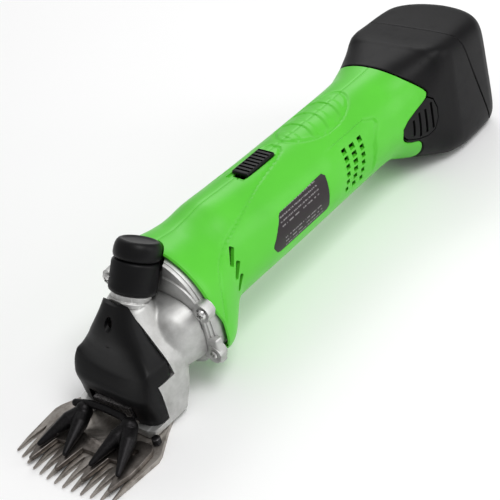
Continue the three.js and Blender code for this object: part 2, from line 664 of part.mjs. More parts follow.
// ---- battery ----
const battery = new THREE.Group();
shears.add(battery);
const BUTTON_OUTLINE = [
  [196.6, 2], [201.5, 4.9], [213, 8.4], [217.5, 9], [219.6, 5], [219.6, -4], [216, -9], [208, -10.6],
  [200.5, -9.8], [195.9, -6.5], [194.4, -2.5],
];
function buttonOutline(scale) {
  const [x0, z0] = [207.5, -1];
  return BUTTON_OUTLINE.map(([x, z]) => [x0 + (x - x0) * scale, z0 + (z - z0) * scale]);
}
function capBlock(shift) {
  const turn = new THREE.Matrix4().makeRotationY(THREE.MathUtils.degToRad(CAP_PLANE.lean));
  return box(0, 90, -70, 70, -90, 90).applyMatrix4(turn).translate(CAP_PLANE.x + shift, 0, 0);
}
const pack = skinBody(0, 180, 300);
const packHollow = skinBody(WALL + 0.2, 220, 288);
const frontRest = sideCutter(BATTERY_JOINT, GAP);
const pockets = [sidePlate(buttonOutline(1.04), -60, -26.5), sidePlate(buttonOutline(1.04), 26.5, 60)];
const bladeSlots = SIDES.map(([, side]) => box(180, 206, side * 9 - 4, side * 9 + 4, -2.4, 0.4));
const packPlug = cut(common(pack, frontRest), capBlock(-GAP / 2), packHollow, ...pockets, ...bladeSlots);
piece('battery_case', packPlug, DARK_GREY, battery);
piece('battery_rear_cap', cut(common(pack, capBlock(GAP / 2)), packHollow), DARK_GREY, battery);
const CELL_PLACES = [[241, -24], [241, -5], [241, 14], [259, -15], [259, 4]];
CELL_PLACES.forEach(([x, z], i) => {
  const half = BATTERY_CELL.length / 2;
  const cell = rod([x, -half, z], [x, half, z], BATTERY_CELL.radius, BATTERY_CELL.radius, 16);
  piece(`battery_cell_${i + 1}`, cell, CELL_GREEN, battery);
});
for (const [name, side] of SIDES) {
  const [y0, y1] = side > 0 ? [30, 34.2] : [-34.2, -30];
  piece(`release_button_${name}`, sidePlate(buttonOutline(1), y0, y1), BLACK, battery);
}

export default shears;
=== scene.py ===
import math
import bmesh
import bpy
from mathutils import Matrix, Vector


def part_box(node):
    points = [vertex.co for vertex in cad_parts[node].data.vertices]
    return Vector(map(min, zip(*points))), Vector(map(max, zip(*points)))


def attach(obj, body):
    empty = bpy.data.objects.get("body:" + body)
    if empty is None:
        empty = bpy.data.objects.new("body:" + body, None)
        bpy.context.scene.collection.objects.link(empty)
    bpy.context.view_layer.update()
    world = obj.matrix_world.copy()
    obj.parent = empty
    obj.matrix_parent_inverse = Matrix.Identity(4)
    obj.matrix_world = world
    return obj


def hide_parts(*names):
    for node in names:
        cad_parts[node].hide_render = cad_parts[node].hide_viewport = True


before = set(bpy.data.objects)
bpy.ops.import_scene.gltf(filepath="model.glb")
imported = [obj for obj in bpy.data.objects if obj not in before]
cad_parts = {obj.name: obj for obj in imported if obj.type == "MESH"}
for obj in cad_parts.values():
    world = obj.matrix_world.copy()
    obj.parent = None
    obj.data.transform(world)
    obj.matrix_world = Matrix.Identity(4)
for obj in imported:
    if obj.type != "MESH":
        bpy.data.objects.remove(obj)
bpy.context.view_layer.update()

# ------------------------------------------------------------------------------------------------
# Cordless sheep shears. Lengths below are millimetres in the tool's own frame: X runs along the
# handle from the comb to the battery, Z is up, and the handle's axis is y = 0, z = 0. TOOL carries
# that frame to the place where the drive shaft and the gear case flange lie.
# ------------------------------------------------------------------------------------------------
MM = 0.001
FLANGE_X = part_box("gear_case_flange")[0].x + 2.6 * MM
AXIS_Z = (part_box("motor_shaft")[0].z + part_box("motor_shaft")[1].z) / 2
TOOL = Matrix.Translation((FLANGE_X, 0, AXIS_Z)) @ Matrix.Scale(MM, 4)
REST_PLANE = -AXIS_Z / MM
SIDES = (("left", -1), ("right", 1))


def clamp(value, low=0.0, high=1.0):
    return max(low, min(high, value))


def ease(value):
    """0 to 1 with a soft start and a soft end."""
    value = clamp(value)
    return value * value * (3 - 2 * value)


def blend_at(table, x):
    """A smooth row of values at x, from a table whose first column is x."""
    if x <= table[0][0]:
        return list(table[0][1:])
    if x >= table[-1][0]:
        return list(table[-1][1:])
    i = max(k for k in range(len(table) - 1) if table[k][0] <= x)
    a, b = table[i], table[i + 1]
    before, after = table[max(i - 1, 0)], table[min(i + 2, len(table) - 1)]
    span = b[0] - a[0]
    t = (x - a[0]) / span
    row = []
    for k in range(1, len(a)):
        rise = (b[k] - a[k]) / span
        into = (a[k] - before[k]) / (a[0] - before[0]) if a is not before else rise
        out = (after[k] - b[k]) / (after[0] - b[0]) if b is not after else rise
        start = 0 if into * rise <= 0 else math.copysign(min(abs(into + rise) / 2, 2.5 * abs(rise)), rise)
        end = 0 if out * rise <= 0 else math.copysign(min(abs(out + rise) / 2, 2.5 * abs(rise)), rise)
        h = t * t * (3 - 2 * t)
        row.append(a[k] + (b[k] - a[k]) * h + span * (start * t * (1 - t) ** 2 - end * t * t * (1 - t)))
    return row


# ------------------------------------------------------------------------------------------------
# Shader values and finishes
# ------------------------------------------------------------------------------------------------
class Value:
    """A shader socket that takes part in Python arithmetic."""

    def __init__(self, finish, socket):
        self.finish = finish
        self.socket = socket

    def math(self, operation, *others):
        return self.finish.node("Math", {"operation": operation}, dict(enumerate((self, *others))))

    def __add__(self, other):
        return self.math("ADD", other)

    def __sub__(self, other):
        return self.math("SUBTRACT", other)

    def __mul__(self, other):
        return self.math("MULTIPLY", other)

    def __truediv__(self, other):
        return self.math("DIVIDE", other)

    def __rsub__(self, other):
        return self.finish.node("Math", {"operation": "SUBTRACT"}, {0: other, 1: self})

    __radd__ = __add__
    __rmul__ = __mul__

    def rise(self, low, high):
        """0 below low, 1 above high."""
        return self.finish.node("MapRange", {"clamp": True}, {0: self, 1: low, 2: high, 3: 0.0, 4: 1.0})


class Finish:
    """One procedural material."""

    def __init__(self, name, **constants):
        self.material = bpy.data.materials.new(name)
        self.material.use_nodes = True
        self.tree = self.material.node_tree
        self.shader = self.tree.nodes["Principled BSDF"]
        for socket, value in constants.items():
            self.shader.inputs[socket.replace("_", " ")].default_value = value
        self.place = self.node("TexCoord", output="Object")

    def node(self, kind, settings=None, inputs=None, output=0):
        """Any shader node, its settings first and then the values or links of its sockets."""
        made = self.tree.nodes.new("ShaderNode" + kind)
        for key, value in (settings or {}).items():
            setattr(made, key, value)
        for key, value in (inputs or {}).items():
            if isinstance(value, Value):
                self.tree.links.new(value.socket, made.inputs[key])
            else:
                made.inputs[key].default_value = value
        return Value(self, made.outputs[output])

    def feed(self, socket, value):
        """Drives one socket of the shader."""
        self.tree.links.new(value.socket, self.shader.inputs[socket])

    def noise(self, scale, detail=3.0, roughness=0.55, where=None):
        """Noise whose features are scale millimetres across."""
        inputs = {"Vector": where or self.place, "Scale": 1 / (scale * MM)}
        inputs |= {"Detail": detail, "Roughness": roughness}
        return self.node("TexNoise", {}, inputs, "Fac")

    def cells(self, scale):
        """Distance to the nearest of many scattered points, scale millimetres apart."""
        inputs = {"Vector": self.place, "Scale": 1 / (scale * MM)}
        return self.node("TexVoronoi", {}, inputs, "Distance")

    def stretched(self, scales):
        """The object's coordinates, drawn out or pressed together."""
        return self.node("Mapping", {}, {"Vector": self.place, "Scale": scales})

    def mix(self, factor, low, high):
        """From colour low to colour high."""
        def colour(value):
            return value if isinstance(value, Value) else (*value, 1)
        inputs = {0: factor, 6: colour(low), 7: colour(high)}
        return self.node("Mix", {"data_type": "RGBA"}, inputs, 2)

    def coordinates(self):
        """The object's x, y and z in metres."""
        split = self.tree.nodes.new("ShaderNodeSeparateXYZ")
        self.tree.links.new(self.place.socket, split.inputs[0])
        return [Value(self, socket) for socket in split.outputs]

    def edges(self, low, high):
        """1 on sharp outer edges, 0 on flats."""
        return self.node("NewGeometry", output="Pointiness").rise(low, high)

    def bump(self, height, depth):
        """Height from 0 to 1, depth in millimetres."""
        inputs = {"Height": height, "Distance": depth * MM, "Strength": 1.0}
        self.feed("Normal", self.node("Bump", {}, inputs))
        return self


def moulded_plastic(name, colour, shade, roughness, grain=0.35, depth=0.04, coat=0.0, shine=0.45):
    """Moulded plastic with a fine spark-eroded grain and slight handling marks."""
    finish = Finish(name, Specular_IOR_Level=shine, Coat_Weight=coat, Coat_Roughness=0.25)
    cloud = finish.noise(38, 2.0)
    marks = finish.noise(9, 5.0, 0.7).rise(0.52, 0.74)
    finish.feed("Base Color", finish.mix(cloud.rise(0.3, 0.7), colour, shade))
    finish.feed("Roughness", cloud * 0.08 + marks * 0.07 + (roughness - 0.06))
    return finish.bump(finish.noise(grain, 2.0) * 0.7 + finish.noise(2.4, 3.0) * 0.3, depth)


def green_plastic():
    grain, depth, coat, shine = 0.3, 0.02, 0.08, 0.3
    pale, deep = (0.094, 0.56, 0.030), (0.082, 0.51, 0.025)
    return moulded_plastic("green_moulding", pale, deep, 0.42, grain, depth, coat, shine)


def battery_plastic():
    grain, depth, coat, shine = 0.45, 0.05, 0, 0.12
    pale, deep = (0.0040, 0.0040, 0.0046), (0.0055, 0.005, 0.0056)
    return moulded_plastic("battery_moulding", pale, deep, 0.46, grain, depth, coat, shine)


def black_plastic(name, roughness):
    grain, depth, coat, shine = 0.3, 0.025, 0, 0.16
    pale, deep = (0.003, 0.003, 0.0033), (0.0045, 0.0045, 0.005)
    return moulded_plastic(name, pale, deep, roughness, grain, depth, coat, shine)


def cast_aluminium():
    """Tumbled casting: pale, softly mottled, with a fine pitted skin and brighter rubbed edges."""
    finish = Finish("cast_aluminium", Metallic=1.0)
    mottle = finish.noise(7, 6.0, 0.65)
    pits = finish.cells(0.55).rise(0.05, 0.42)
    dirt = finish.noise(16, 4.0, 0.6).rise(0.55, 0.8)
    base = finish.mix(mottle.rise(0.3, 0.7), (0.45, 0.45, 0.44), (0.60, 0.60, 0.59))
    worn = finish.mix(dirt * 0.4, base, (0.27, 0.26, 0.245))
    finish.feed("Base Color", finish.mix(finish.edges(0.53, 0.60) * 0.5, worn, (0.86, 0.86, 0.85)))
    finish.feed("Roughness", mottle * 0.16 + dirt * 0.08 + 0.46)
    grain = finish.noise(0.5, 3.0) * 0.6 + pits * 0.25 + finish.noise(3.2, 4.0) * 0.5
    return finish.bump(grain, 0.1)


def ground_steel(name, colour, stain, roughness):
    """Ground steel with fine lines along the tool and a thin oily stain."""
    finish = Finish(name, Metallic=1.0)
    lines = finish.noise(1.0, 3.0, 0.7, finish.stretched((0.06, 2.6, 1.2)))
    film = finish.noise(5, 5.0, 0.65).rise(0.42, 0.72)
    finish.feed("Base Color", finish.mix(film, colour, stain))
    finish.feed("Roughness", lines * 0.2 + film * 0.16 + (roughness - 0.1))
    return finish.bump(lines, 0.02)


def blackened_steel():
    """Forged and blackened steel, rubbed bright on its edges."""
    finish = Finish("blackened_steel", Metallic=0.85)
    scale = finish.noise(1.2, 5.0, 0.7)
    rubbed = finish.edges(0.54, 0.62) * scale.rise(0.35, 0.6)
    dark = finish.mix(scale.rise(0.35, 0.7), (0.008, 0.0075, 0.008), (0.018, 0.017, 0.018))
    finish.feed("Base Color", finish.mix(rubbed, dark, (0.22, 0.21, 0.21)))
    finish.feed("Roughness", scale * 0.25 + 0.3)
    return finish.bump(scale, 0.08)


def bright_steel():
    return ground_steel("bright_steel", (0.70, 0.70, 0.69), (0.52, 0.51, 0.50), 0.22)


def comb_steel():
    return ground_steel("comb_steel", (0.40, 0.37, 0.34), (0.20, 0.175, 0.155), 0.36)


def cutter_steel():
    return ground_steel("cutter_steel", (0.20, 0.18, 0.165), (0.09, 0.08, 0.07), 0.34)


def brass():
    return ground_steel("machined_brass", (0.78, 0.55, 0.22), (0.55, 0.36, 0.14), 0.3)


def copper():
    return ground_steel("enamelled_copper", (0.72, 0.33, 0.16), (0.45, 0.18, 0.08), 0.35)


def ferrite():
    return moulded_plastic("ferrite_and_carbon", (0.03, 0.03, 0.032), (0.045, 0.045, 0.048), 0.6, 0.5, 0.06)


def cell_sleeve():
    return moulded_plastic("cell_sleeve", (0.02, 0.16, 0.24), (0.03, 0.2, 0.29), 0.3, 3.0, 0.02)


FINISHES = {
    "green": green_plastic(),
    "battery": battery_plastic(),
    "black": black_plastic("black_moulding", 0.42),
    "satin_black": black_plastic("satin_black_moulding", 0.5),
    "cast": cast_aluminium(),
    "bright": bright_steel(),
    "comb": comb_steel(),
    "cutter": cutter_steel(),
    "blackened": blackened_steel(),
    "brass": brass(),
    "copper": copper(),
    "ferrite": ferrite(),
    "sleeve": cell_sleeve(),
}


# ------------------------------------------------------------------------------------------------
# Mesh helpers
# ------------------------------------------------------------------------------------------------
def surface(columns, rows, point, around=False):
    """A sheet of quads through point(u, v), with u from 0 to 1 across and v from 0 to 1 along."""
    bm = bmesh.new()
    bmesh.ops.create_grid(bm, x_segments=columns, y_segments=rows, size=0.5)
    for vert in bm.verts:
        vert.co = point(vert.co.x + 0.5, vert.co.y + 0.5)
    if around:
        bmesh.ops.remove_doubles(bm, verts=bm.verts, dist=1e-4)
        bmesh.ops.holes_fill(bm, edges=[edge for edge in bm.edges if edge.is_boundary], sides=0)
    bmesh.ops.recalc_face_normals(bm, faces=bm.faces)
    return bm


def slab(outline, low, high, bevel=0.0):
    """An outline in the XY plane given a height, with its crisp edges rounded."""
    bm = bmesh.new()
    face = bm.faces.new([bm.verts.new((x, y, low)) for x, y in outline])
    grown = bmesh.ops.extrude_face_region(bm, geom=[face])
    top = [item for item in grown["geom"] if isinstance(item, bmesh.types.BMVert)]
    bmesh.ops.translate(bm, vec=(0, 0, high - low), verts=top)
    bmesh.ops.recalc_face_normals(bm, faces=bm.faces)
    if bevel:
        soften(bm, bevel, 2, 20)
    return bm


def soften(bm, width, segments=2, angle=30):
    """Rounds the edges that turn by more than angle, in degrees."""
    least = math.radians(angle)
    crisp = [edge for edge in bm.edges if edge.is_manifold and edge.calc_face_angle(0) > least]
    bmesh.ops.bevel(bm, geom=crisp, offset=width, segments=segments, profile=0.5, affect="EDGES", material=-1)
    return bm


def turned(profile, steps=64):
    """A closed body spun about Z from a profile of radius and height that starts and ends on the axis."""
    bm = bmesh.new()
    verts = [bm.verts.new((radius, 0, height)) for radius, height in profile]
    edges = [bm.edges.new(pair) for pair in zip(verts, verts[1:])]
    bmesh.ops.spin(
        bm, geom=verts + edges, cent=(0, 0, 0), axis=(0, 0, 1), angle=math.tau, steps=steps, use_merge=True,
    )
    bmesh.ops.remove_doubles(bm, verts=bm.verts, dist=1e-4)
    bmesh.ops.recalc_face_normals(bm, faces=bm.faces)
    return bm


def block(low, high, bevel=0.0, segments=2):
    """A straight-sided block between two corners, with rounded edges."""
    bm = bmesh.new()
    bmesh.ops.create_cube(bm, size=1.0)
    size = Vector(high) - Vector(low)
    bmesh.ops.scale(bm, vec=size, verts=bm.verts)
    bmesh.ops.translate(bm, vec=(Vector(low) + Vector(high)) / 2, verts=bm.verts)
    if bevel:
        soften(bm, bevel, segments)
    return bm


def bar(start, end, radius, end_radius=None, sides=32):
    """A round bar between two points."""
    start, end = Vector(start), Vector(end)
    bm = bmesh.new()
    ends = {"radius1": radius, "radius2": radius if end_radius is None else end_radius}
    bmesh.ops.create_cone(bm, cap_ends=True, segments=sides, depth=(end - start).length, **ends)
    turn = (end - start).to_track_quat("Z", "Y").to_matrix().to_4x4()
    bm.transform(Matrix.Translation((start + end) / 2) @ turn)
    return bm


def together(*parts):
    """Several meshes in one."""
    whole = parts[0]
    for part in parts[1:]:
        spare = bpy.data.meshes.new("spare")
        part.to_mesh(spare)
        whole.from_mesh(spare)
        bpy.data.meshes.remove(spare)
        part.free()
    return whole


def as_object(name, bm):
    """An object in millimetres; done() carries it into the frame."""
    mesh = bpy.data.meshes.new(name)
    bm.to_mesh(mesh)
    bm.free()
    made = bpy.data.objects.new(name, mesh)
    bpy.context.scene.collection.objects.link(made)
    return made


def settle(made):
    """Applies the modifiers."""
    graph = bpy.context.evaluated_depsgraph_get()
    mesh = bpy.data.meshes.new_from_object(made.evaluated_get(graph))
    made.modifiers.clear()
    old = made.data
    made.data = mesh
    bpy.data.meshes.remove(old)
    return made


def combine(made, tool, operation="DIFFERENCE"):
    """Cuts or joins a piece with another mesh."""
    other = as_object("tool", tool)
    step = made.modifiers.new("combine", "BOOLEAN")
    step.object = other
    step.operation = operation
    step.solver = "MANIFOLD"
    settle(made)
    bpy.data.objects.remove(other)
    return made


def thicken(made, thickness):
    """Gives a sheet a wall on its inner side."""
    step = made.modifiers.new("wall", "SOLIDIFY")
    step.thickness = thickness
    step.offset = -1
    step.use_even_offset = True
    return settle(made)


def blended(made, voxel, rounds):
    """Melts overlapping bodies into one casting with soft inner corners."""
    step = made.modifiers.new("melt", "REMESH")
    step.mode = "VOXEL"
    step.voxel_size = voxel
    smooth = made.modifiers.new("smooth", "SMOOTH")
    smooth.factor = 0.5
    smooth.iterations = rounds
    return settle(made)


def done(made, finish, body, stands_for=(), crisp=32):
    """Gives a finished piece its material and its body, and hides the CAD nodes that it stands for."""
    mesh = made.data
    mesh.transform(TOOL)
    mesh.materials.clear()
    mesh.materials.append(FINISHES[finish].material)
    mesh.polygons.foreach_set("material_index", [0] * len(mesh.polygons))
    mesh.polygons.foreach_set("use_smooth", [True] * len(mesh.polygons))
    mesh.set_sharp_from_angle(angle=math.radians(crisp))
    mesh.update()
    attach(made, body)
    if stands_for:
        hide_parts(*stands_for)
    return made


def piece(name, bm, finish, body, stands_for=(), crisp=32):
    """A finished piece straight from its mesh."""
    return done(as_object(name, bm), finish, body, stands_for, crisp)


# ------------------------------------------------------------------------------------------------
# Skin of the handle and the battery
# ------------------------------------------------------------------------------------------------
# x, half width, top, bottom, roundness of the upper and lower half (2 is an ellipse), lean
SKIN = [
    [-6, 36.5, 33, 30, 2.2, 3.2, 0],
    [0, 39.4, 33.5, 32, 2.2, 3.4, 0],
    [5, 40.6, 33.5, 34.5, 2.2, 3.4, 0],
    [12, 39.4, 32.7, 38.5, 2.15, 3.2, 0],
    [18, 37.2, 31.8, 40, 2.1, 2.9, 0],
    [25, 34, 31, 37.5, 2.05, 2.5, 0],
    [32, 30.9, 31.3, 32.2, 2, 2.2, 0],
    [38, 29.6, 32, 29.9, 2, 2, 0],
    [48, 29.5, 33, 29.5, 2, 2, 0],
    [66, 29.8, 32, 29.6, 2, 2, 0],
    [90, 30, 30.8, 30, 2, 2, 0],
    [130, 30, 30, 30, 2, 2, 0],
    [180, 30, 29.8, 30.5, 2, 2, 0],
    [198, 30.8, 29.8, 32, 2.05, 2.1, 0],
    [208, 32.3, 30.1, 36.5, 2.3, 2.4, 0],
    [220, 34.1, 31.4, 41.5, 2.9, 3.0, 0],
    [232, 35.9, 33.1, 45.5, 4.4, 4.4, 0],
    [237, 36.6, 33.9, 46.9, 6, 5.4, 0],
    [241, 37.2, 33.9, 47.9, 7.5, 6.2, 0],
    [250, 38.2, 33.5, 49.8, 8, 7, -0.03],
    [256, 38.2, 33.2, 50.6, 8, 7.5, -0.05],
    [280, 37.6, 32.2, 51, 8, 7.5, -0.08],
    [286, 36.8, 31.2, 50.3, 7, 7, -0.08],
    [289.6, 34.5, 28.7, 48, 6, 6.5, -0.08],
    [291.6, 30, 24, 43.5, 5, 5.5, -0.08],
]
# The line between handle and battery from the side, as z and x
BATTERY_JOINT = [
    [-60, 217.5], [-31, 217], [-26, 216], [-21, 213.5], [-18.6, 210.5], [-16.8, 205], [-14, 200.6],
    [-11, 198.3], [-8, 197.5], [-4, 197.8], [-1.5, 199.8], [2.8, 208], [6, 214.5], [9, 220.5],
    [11.5, 222.3], [14.5, 221], [20, 217], [25, 213.5], [31, 211], [60, 211],
]
WALL = 2.5
# The battery's end bulges backwards: by how much, from which x, over what length and half width
END_BULGE, BULGE_FROM, BULGE_LENGTH, BULGE_HALF = 12.0, 256, 34, 37
# How far the middle of the section lies below the axis in the collar, by x
SINK = [[-6, -12], [5, -12], [12, -10.5], [18, -8], [25, -4], [32, -1], [40, 0]]


def skin(x, angle, inset=0.0):
    """The point of the skin at a station and an angle from the +Y side towards the top."""
    half, up, down, power_up, power_down, lean = blend_at(SKIN, x)
    c, s = math.cos(angle), math.sin(angle)
    sink = blend_at(SINK, x)[0]
    height, power = (up - sink, power_up) if s >= 0 else (down + sink, power_down)
    reach = (abs(c / (half - inset)) ** power + abs(s / (height - inset)) ** power) ** (-1 / power)
    bulge = ease((x - BULGE_FROM) / BULGE_LENGTH) * end_bulge(reach * c)
    return Vector((x + lean * reach * s + bulge, reach * c, sink + reach * s))


def end_bulge(y):
    return END_BULGE * (1 - min(1, abs(y) / BULGE_HALF) ** 2)


def joint_along(angle):
    """Where the joint line crosses the skin at an angle."""
    x = 208.0
    for _ in range(12):
        x = 0.5 * x + 0.5 * blend_at(BATTERY_JOINT, skin(x, angle).z)[0]
    return x


def near_line(points, u, v):
    """Distance from (u, v) to a chain of points."""
    best = 1e9
    for (ax, ay), (bx, by) in zip(points, points[1:]):
        dx, dy = bx - ax, by - ay
        t = clamp(((u - ax) * dx + (v - ay) * dy) / (dx * dx + dy * dy))
        best = min(best, math.hypot(u - ax - t * dx, v - ay - t * dy))
    return best


def inside(points, u, v):
    """Whether (u, v) is inside a closed chain of points."""
    found = False
    for (ax, ay), (bx, by) in zip(points, points[1:] + points[:1]):
        if (ay > v) != (by > v) and u < ax + (v - ay) / (by - ay) * (bx - ax):
            found = not found
    return found


# Styling crease, as x and degrees from the top, and the length of a degree round the handle
CREASE = [
    [113.5, 0], [114, 6], [111.5, 11.5], [104, 16], [79, 26.5], [54, 41], [42, 47.5], [34, 53], [28, 58],
    [21, 67], [15.5, 79], [11, 92], [8.5, 102],
]
DEGREE = 0.52
# The thumb rest's oval, the hollow panel with the rear vents and the nameplate's recess, as x and z
THUMB = {"x": 149.5, "half": 29.5, "width": 16.5, "ribs": (127.5, 141.5, 155, 168)}
PANEL = [[128, 20], [171, 20], [178.5, 17.5], [179, 14], [170, 5], [165.5, -14], [128, -16]]
LABEL = [
    [121.4, 11.4], [119.6, 13.6], [80, 13.4], [77.6, 12.6], [66.2, -1.4], [65.8, -3.4], [68.4, -7.9],
    [71, -9], [116, -9.6], [118.3, -7.8],
]


def relief(point, side):
    """Height of the moulded detail above the plain skin of the green shells."""
    x, y, z = point
    from_top = abs(math.degrees(math.atan2(y, z)))
    height = 0.0
    if x < 120:
        crease = near_line([[a, b * DEGREE] for a, b in CREASE], x, from_top * DEGREE)
        height -= 0.8 * (1 - ease(crease / 1.3))
    t = math.hypot((x - THUMB["x"]) / THUMB["half"], y / THUMB["width"])
    if z > 0 and t < 1.2:
        rim = abs(t - 1) * THUMB["width"]
        height -= 0.8 * (1 - ease(rim / 1.2))
        if t < 1:
            bowed = x + 0.02 * y * y - 0.12 * y
            rib = min(abs(bowed - centre) for centre in THUMB["ribs"])
            height += ease((1 - t) * 5) * (0.65 * ease((2.9 - rib) / 0.7) - 0.5)
    if 120 < x < 190 and -22 < z < 26 and y * side > 0 and inside(PANEL, x, z):
        edge = near_line(PANEL[1:6], x, z)
        height -= 1.1 * ease(edge / 1.5) * ease((x - 128) / 16) * ease((z + 16) / 9)
    if y < 0 and 60 < x < 126 and inside(LABEL, x, z):
        height -= 0.7 * ease(near_line(LABEL + LABEL[:1], x, z) / 0.7)
    return height


def lip(distance, radius):
    """How far a rounded edge falls in at a distance from the end."""
    distance = clamp(distance, 0, radius)
    return radius - math.sqrt(radius ** 2 - (radius - distance) ** 2)


def green_front(z):
    """Where the green shells begin: the top reaches further forward than the sides."""
    return clamp(2.8 - 0.29 * (z - 5), 2.8, 6.6)


def shell_half(name, side):
    """One green shell from the collar to the battery, with its moulded detail and its wall."""
    rows, columns = 250, 96
    front_lip, rear_lip, seam_lip = 0.9, 0.7, 0.2
    joint_gap, seam_gap = 0.2, 0.04

    def point(u, v):
        angle = math.radians(-90 + 180 * u) if side > 0 else math.radians(270 - 180 * u)
        first = green_front(skin(4, angle).z)
        last = joint_along(angle) - joint_gap
        x = first + (last - first) * v
        seam = lip(abs(skin(x, angle).y), seam_lip)
        inset = lip(x - first, front_lip) + lip(last - x, rear_lip) + seam
        place = skin(x, angle, inset)
        out = Vector((0, place.y, place.z)).normalized()
        place += out * relief(place, side)
        place.y += side * seam_gap
        return place

    shell = as_object(name, surface(columns, rows, point))
    if sum(face.normal.y for face in shell.data.polygons) * side < 0:
        shell.data.flip_normals()
    return thicken(shell, WALL)


def rear_vents(side):
    """Three columns of small slanted holes."""
    parts = []
    rows = 6
    slant = Matrix.Shear("XZ", 3, (0.4, 0.0)).to_4x4()
    for x, top, bottom, width in ((140.5, 13.4, -9, 4.0), (148.2, 12.8, -9.4, 4.6), (156.2, 13, -10.2, 3.9)):
        for row in range(rows):
            z = top + (bottom - top) * row / (rows - 1)
            size = width * (1 - 0.04 * row)
            hole = block((-size / 2, -7, -1.6), (size / 2, 7, 1.6), 0.3, 2)
            hole.transform(Matrix.Translation((x + 0.3 * z - 0.012 * z * z, side * 29.5, z)) @ slant)
            parts.append(hole)
    return parts


def front_vents(side):
    """Slanted slots behind the collar."""
    parts = []
    for row in range(3):
        hole = block((-1.7, -8, -5.3 + 0.2 * row), (1.7, 8, 5.3 - 0.2 * row), 0.9, 3)
        place = Matrix.Translation((35.2 - 0.5 * row, side * 29, 12.4 - 8.2 * row))
        hole.transform(place @ Matrix.Rotation(math.radians(42), 4, "Y"))
        parts.append(hole)
    return parts


# The knob's axis, the lugs' heights and the housing screws as x and z
KNOB_LEAN = math.radians(32)
KNOB_AXIS = Vector((math.sin(KNOB_LEAN), 0, math.cos(KNOB_LEAN)))
KNOB_FOOT = Vector((-15.8, 0, 16.3))
KNOB_FRAME = Matrix.Translation(KNOB_FOOT) @ Matrix.Rotation(KNOB_LEAN, 4, "Y")
LUGS = (("upper", 4), ("lower", -25))
LUG_Y = 36
HOUSING_SCREWS = [(24, -30), (120, 17), (120, -18), (186, 16)]


def lug_holes(side, radius, sides):
    return [bar((-9, side * LUG_Y, z), (9, side * LUG_Y, z), radius, sides=sides) for _, z in LUGS]


def green_shells():
    """Both shells with their vents, screw holes, and room for the knob and the slider."""
    for name, side in SIDES:
        shell = shell_half("shell_" + name, side)
        cuts = rear_vents(side) + front_vents(side) + lug_holes(side, 2.1, 24)
        knob_room = knob_bar(-12, 60, 13.8, 96)
        slider_room = block((75.6, -6.6, 29.2), (107.0, 6.6, 40), 0.8, 3)
        stem_room = block((79.4, -4.4, 20), (103.6, 4.4, 32))
        for tool in (together(*cuts), knob_room, slider_room, stem_room):
            combine(shell, tool)
        if side > 0:
            wells = [bar((x, 21.2, z), (x, 36, z), 3.4, sides=40) for x, z in HOUSING_SCREWS]
            combine(shell, together(*wells))
        done(shell, "green", "body", ["housing_" + name], 30)


# ------------------------------------------------------------------------------------------------
# Battery
# ------------------------------------------------------------------------------------------------
# The joint between case and rear cap: its x on the axis, and how much it leans for each millimetre up
CAP_X, CAP_LEAN = 270.0, 0.272
CAP_LIP, CAP_GAP = 0.7, 0.12
END_X = SKIN[-1][0]


def cap_along(angle):
    """Where the joint between case and rear cap crosses the skin."""
    x = CAP_X
    for _ in range(12):
        x = 0.5 * x + 0.5 * (CAP_X - CAP_LEAN * skin(x, angle).z)
    return x


def rim_share(angle):
    """How much of a rim's rounding is left: less on top, where the joints are tight."""
    return 1 - 0.7 * ease((math.sin(angle) - 0.35) / 0.3)


def battery_case():
    """The case with rounded rims, and a pocket for each release pad."""
    front_gap, front_lip = 0.47, 0.9

    def point(u, v):
        angle = math.tau * u
        start, end = joint_along(angle) + front_gap, cap_along(angle) - CAP_GAP
        x = start + (end - start) * v
        share = rim_share(angle)
        return skin(x, angle, lip(x - start, front_lip * share) + lip(end - x, CAP_LIP * share))

    case = as_object("battery_shell", surface(160, 90, point, around=True))
    for _, side in SIDES:
        combine(case, button_body(side, 1.07, 23.0))
    done(case, "battery", "battery", ["battery_case"], 28)


def battery_cap():
    """The rear cover, whose end closes in rings towards the middle of the bulged back."""
    side_part = 0.7

    def point(u, v):
        angle = math.tau * u
        start = cap_along(angle) + CAP_GAP
        if v <= side_part:
            x = start + (END_X - start) * v / side_part
            return skin(x, angle, lip(x - start, CAP_LIP * rim_share(angle)))
        rim = skin(END_X, angle)
        shrink = (1 - v) / (1 - side_part)
        y, z = rim.y * shrink, rim.z * shrink
        return Vector((END_X - 0.08 * z + end_bulge(y) + 0.6 * (1 - shrink ** 2), y, z))

    cap = as_object("battery_end", surface(160, 60, point, around=True))
    done(cap, "battery", "battery", ["battery_rear_cap"], 28)


# The release pad's outline as x and z, and its grooves as x, bottom and top
BUTTON = [
    [221, 8.6], [225.6, 4.8], [228.2, -2.6], [227.8, -9.8], [224.4, -16], [218.6, -18], [211.2, -16.4],
    [201.4, -11.9], [197, -6.7], [197, -2], [202, 1.8], [209, 4.8], [217, 7.6],
]
PAD_GROOVES = ((206.5, -12, -0.2), (212.1, -15.4, 2.5), (217.7, -15.2, 2.1), (223.3, -14.9, 4.2))


def button_body(side, scale, inner):
    """The pad's outline, scaled about its middle and drawn out sideways past the skin."""
    middle_x, middle_z = 213, -4.5
    outline = [(middle_x + (x - middle_x) * scale, middle_z + (z - middle_z) * scale) for x, z in BUTTON]
    bm = slab(outline, inner, 60)
    stand = Matrix(((1, 0, 0, 0), (0, 0, side, 0), (0, 1, 0, 0), (0, 0, 0, 1)))
    bm.transform(stand)
    bmesh.ops.recalc_face_normals(bm, faces=bm.faces)
    return bm


def skin_solid(first, last, inset, columns, rows):
    """The skin between two stations as one solid."""
    def point(u, v):
        return skin(first + (last - first) * v, math.tau * u, inset)
    return surface(columns, rows, point, around=True)


